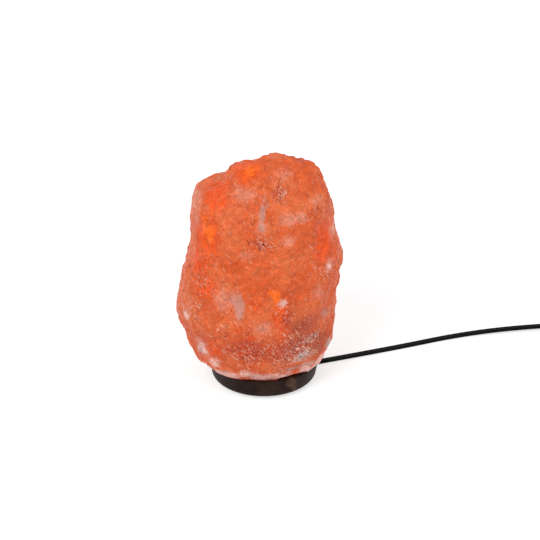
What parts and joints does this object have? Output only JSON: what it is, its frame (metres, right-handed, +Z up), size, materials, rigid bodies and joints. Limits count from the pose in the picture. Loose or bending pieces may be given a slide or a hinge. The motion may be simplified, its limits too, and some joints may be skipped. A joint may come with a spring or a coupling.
{
  "type": "salt crystal lamp",
  "caption": "Natural rock salt block on a turned wooden base, lit from inside by a small bulb in a sprung holder, with a flat cord, in-line dimmer and two-blade plug.",
  "frame": {"origin": "on the floor, on the axis of the turned base, at the centre of the felt ring that the lamp rests on", "axes": "+Z up along the base's axis, -Y the front of the lamp, +X to the right, where the cord leaves"},
  "size_m": [0.5595, 0.1647, 0.211],
  "materials": {
    "salt": "rough, waxy, translucent rock salt",
    "dark_wood": "dark stained and oiled hardwood",
    "felt": "pressed felt",
    "steel": "zinc plated steel",
    "spring_steel": "spring steel strip",
    "brass": "plain brass",
    "anchor_plastic": "grey nylon",
    "holder_plastic": "black phenolic resin",
    "bulb_glass": "clear blown glass",
    "bulb_cement": "dark vitrified glass",
    "filament": "glowing tungsten wire",
    "cord_vinyl": "black vinyl, satin",
    "copper": "bare copper strands",
    "case_plastic": "black moulded plastic, fine grain",
    "dial_plastic": "black plastic",
    "pot_case": "blue moulded plastic",
    "circuit_board": "green laminate",
    "relief_vinyl": "black soft vinyl",
    "tie_plastic": "black plastic over wire",
    "nickel": "nickel plated brass"
  },
  "bodies": {
    "cordset": {"socket_cap": "holder_plastic", "socket_housing": "holder_plastic", "socket_shell": "brass", "socket_contact": "brass", "socket_terminals": "brass", "socket_screws": "steel", "spring_bracket": "spring_steel", "cord_inner": "cord_vinyl", "core_wires": "copper", "cord_to_dimmer": "cord_vinyl", "dimmer_lower_shell": "case_plastic", "dimmer_upper_shell": "case_plastic", "dimmer_potentiometer": "pot_case", "dimmer_board": "circuit_board", "dimmer_screws": "steel", "dimmer_relief_in": "relief_vinyl", "dimmer_relief_out": "relief_vinyl", "cord_lead": "cord_vinyl", "cord_coil": "cord_vinyl", "cord_tie": "tie_plastic", "plug_relief": "relief_vinyl", "plug_body": "case_plastic", "plug_blades": "nickel"},
    "lamp": {"salt_crystal": "salt", "wooden_base": "dark_wood", "felt_ring": "felt", "base_screws": "steel", "screw_anchors": "anchor_plastic"},
    "bulb": {"bulb_glass": "bulb_glass", "bulb_shell": "nickel", "bulb_insulator": "bulb_cement", "bulb_foot": "nickel", "bulb_stem": "bulb_glass", "bulb_leads": "nickel", "bulb_filament": "filament"},
    "dial": {"dimmer_dial": "dial_plastic"}
  },
  "joints": [
    {"name": "lamp_lift", "type": "slide", "parent": "cordset", "child": "lamp", "axis": [0, 0, 1], "range_m": [0, 0.1]},
    {"name": "bulb_unscrew", "type": "hinge", "parent": "cordset", "child": "bulb", "pos_m": [0, 0, 0.045], "axis": [0, 0, 1], "range_deg": [0, 1080]},
    {"name": "dimmer_turn", "type": "hinge", "parent": "cordset", "child": "dial", "pos_m": [0.33102, 0.08795, 0.015], "axis": [0, 0, 1], "range_deg": [-10, 260]}
  ]
}
